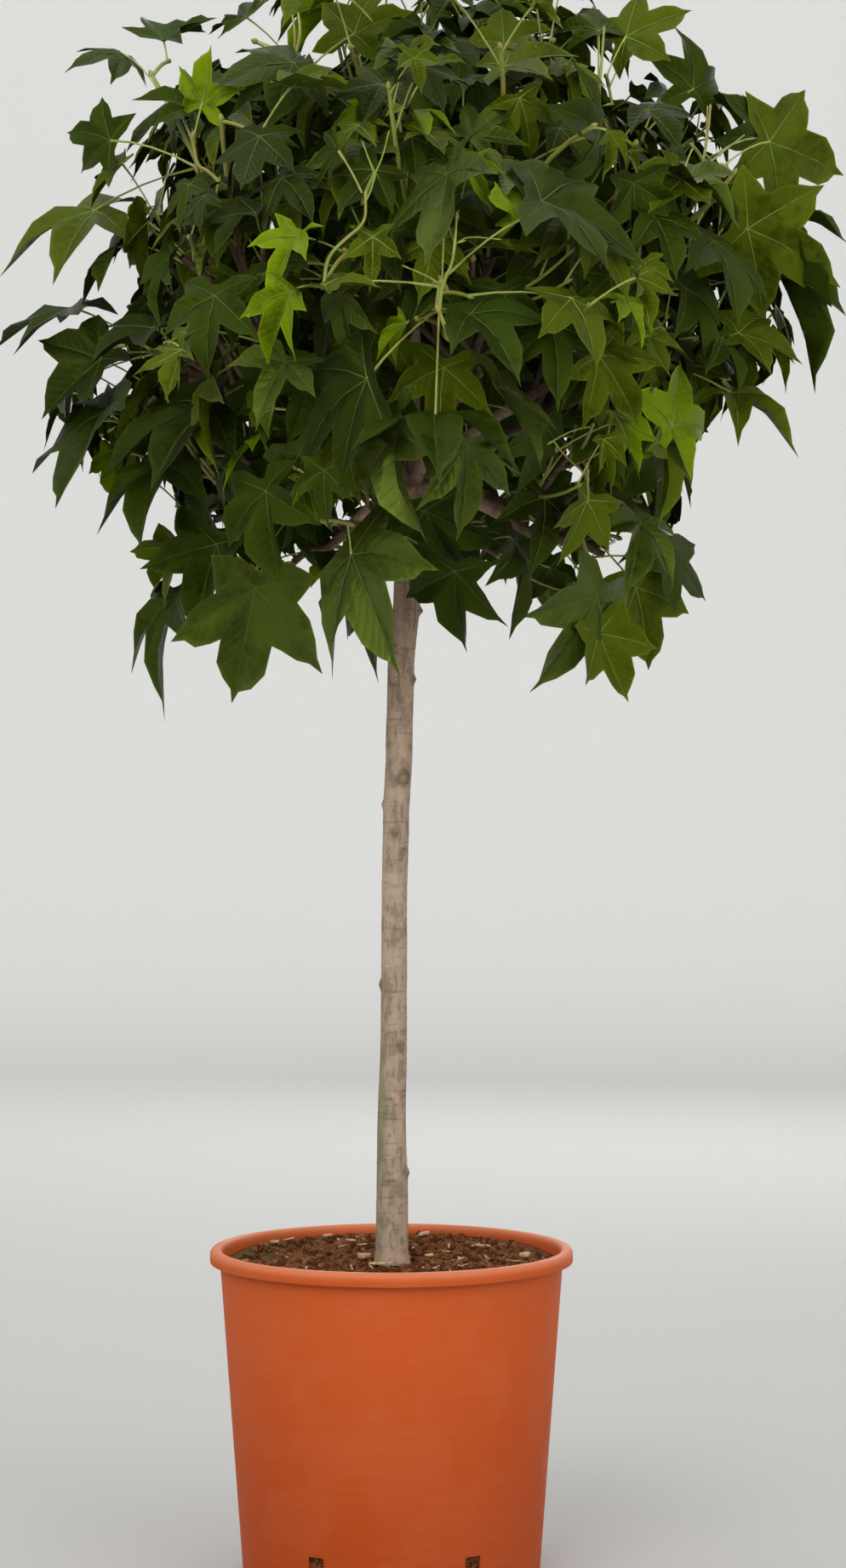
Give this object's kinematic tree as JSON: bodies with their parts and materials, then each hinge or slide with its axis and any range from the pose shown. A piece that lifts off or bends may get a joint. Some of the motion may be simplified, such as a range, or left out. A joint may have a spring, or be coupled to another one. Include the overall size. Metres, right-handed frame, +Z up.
{
  "type": "potted globe-headed sweetgum half-standard",
  "caption": "Ball-headed garden tree with star-shaped leaves, grafted on a bare straight stem and growing in a tapered nursery pot.",
  "frame": {"origin": "centre of the pot's flat underside", "axes": "+Z up along the pot's axis and the stem; -Y faces the viewer of the front, +X to that viewer's right"},
  "size_m": [0.6366, 0.6648, 1.2295],
  "materials": {
    "pot": "matte terracotta-coloured plastic",
    "compost": "moist peaty compost with wood chips",
    "bark": "smooth grey-brown young bark",
    "leaves": "satin green leaves"
  },
  "bodies": {
    "root": {"pot": "pot", "root_ball": "compost", "trunk": "bark", "bough_skirt_1": "bark", "bough_skirt_2": "bark", "bough_skirt_3": "bark", "bough_skirt_4": "bark", "bough_skirt_5": "bark", "bough_skirt_6": "bark", "bough_shoulder_1": "bark", "bough_shoulder_2": "bark", "bough_shoulder_3": "bark", "bough_shoulder_4": "bark", "bough_shoulder_5": "bark", "bough_shoulder_6": "bark", "bough_top": "bark", "foliage_skirt_1": "leaves", "foliage_skirt_2": "leaves", "foliage_skirt_3": "leaves", "foliage_skirt_4": "leaves", "foliage_skirt_5": "leaves", "foliage_skirt_6": "leaves", "foliage_shoulder_1": "leaves", "foliage_shoulder_2": "leaves", "foliage_shoulder_3": "leaves", "foliage_shoulder_4": "leaves", "foliage_shoulder_5": "leaves", "foliage_shoulder_6": "leaves", "foliage_top": "leaves"}
  },
  "joints": []
}
